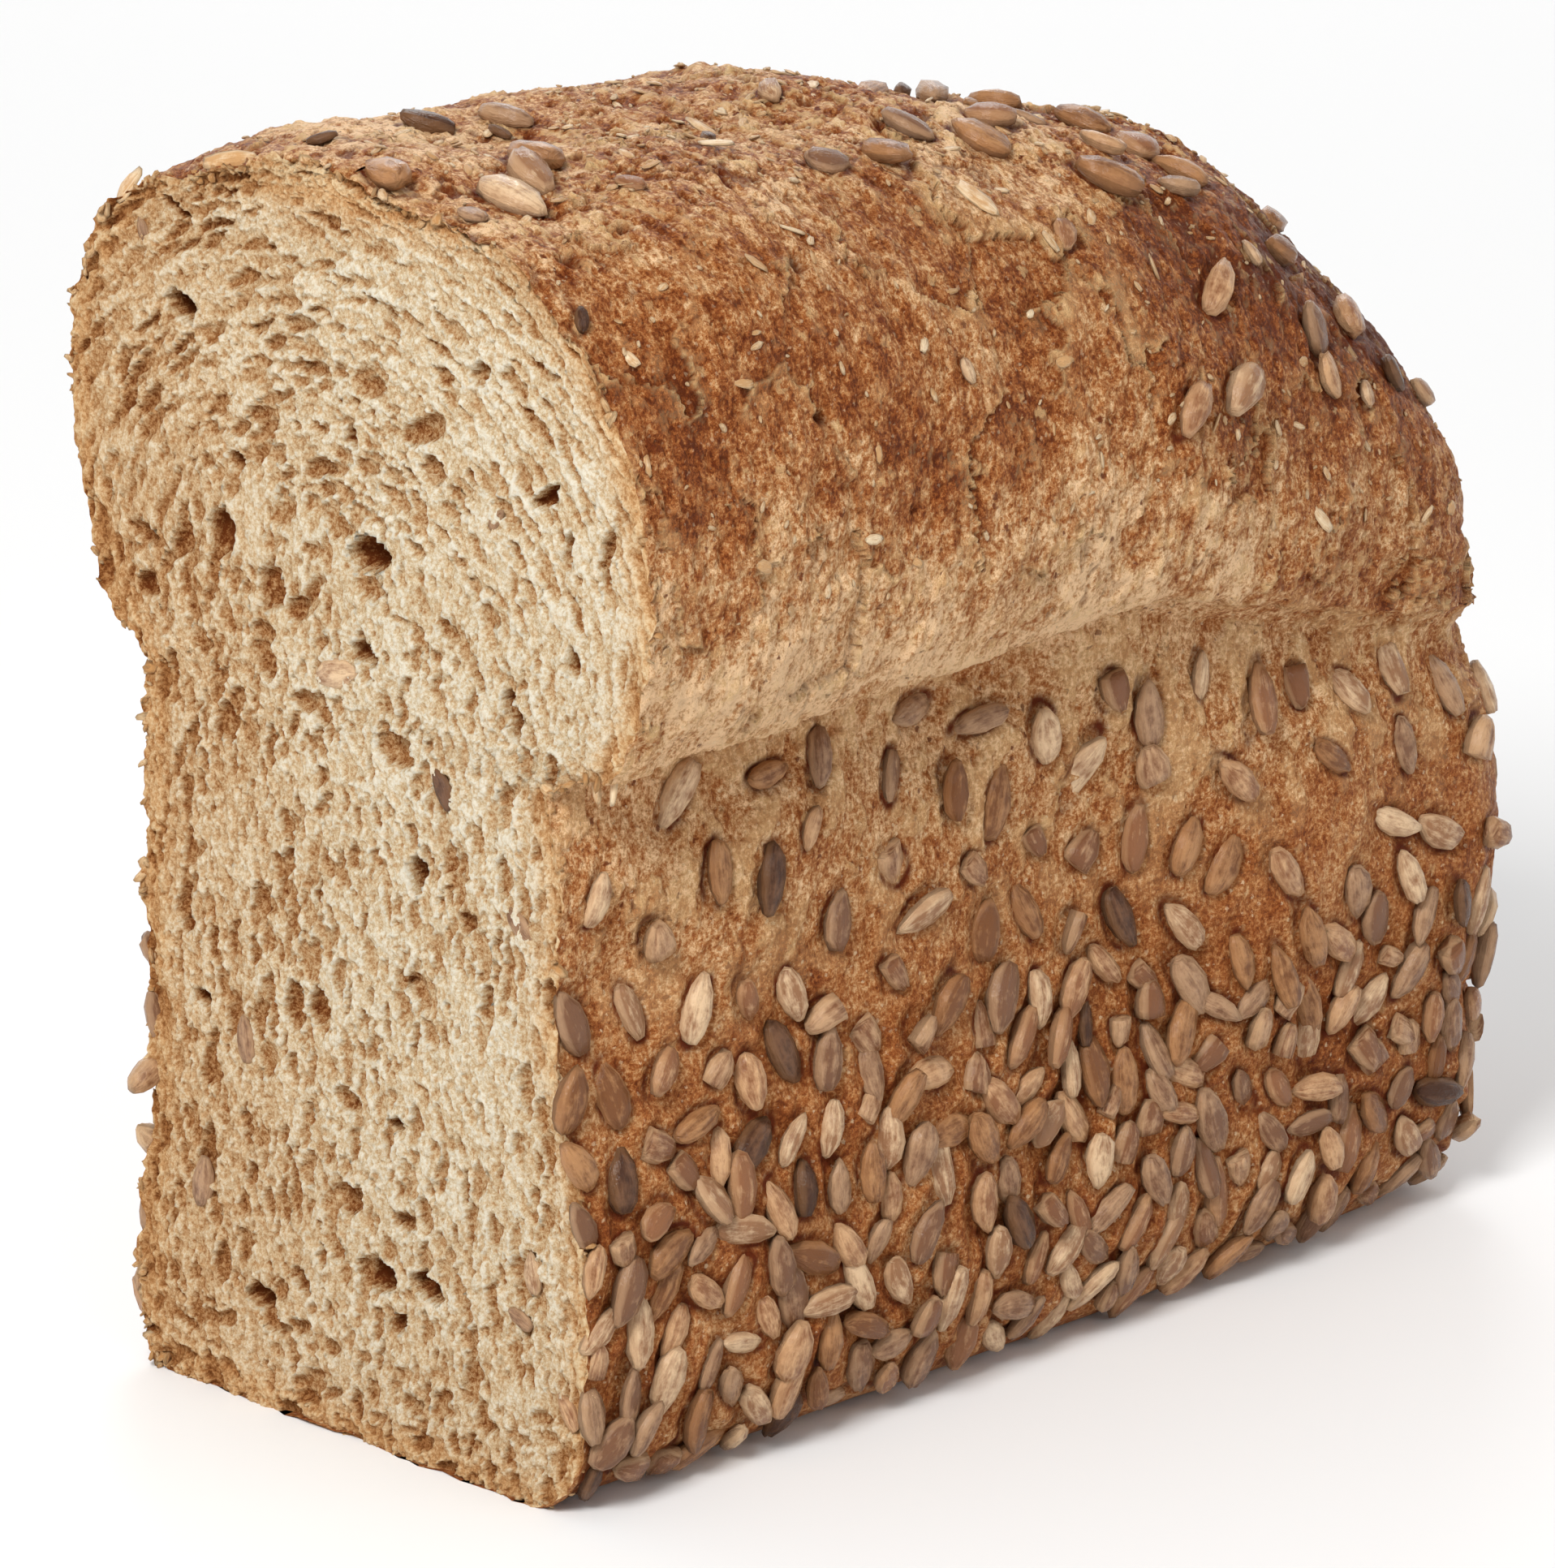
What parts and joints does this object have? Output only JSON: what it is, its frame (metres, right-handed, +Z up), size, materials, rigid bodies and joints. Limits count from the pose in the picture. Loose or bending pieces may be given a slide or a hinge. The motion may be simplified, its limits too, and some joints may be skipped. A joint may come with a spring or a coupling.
{
  "type": "cut loaf of seeded wholegrain bread",
  "caption": "Cut half of a tin loaf of wholegrain bread: open crumb on the cut face, domed crown over straight tin sides, sunflower kernels baked into the crust.",
  "frame": {"origin": "centre of the bounding box's bottom, on the surface that the loaf stands on", "axes": "+X along the loaf from the cut face to the heel, +Y across it from the near long side to the far one, +Z up from the flat base to the crown"},
  "size_m": [0.1666, 0.0988, 0.1543],
  "materials": {
    "crust": "baked crust, matt with a faint sheen on the crown",
    "crumb": "open bread crumb, matt and porous",
    "seed": "hulled sunflower kernels, toasted, satin"
  },
  "bodies": {
    "root": {"loaf": "crust"}
  },
  "joints": []
}
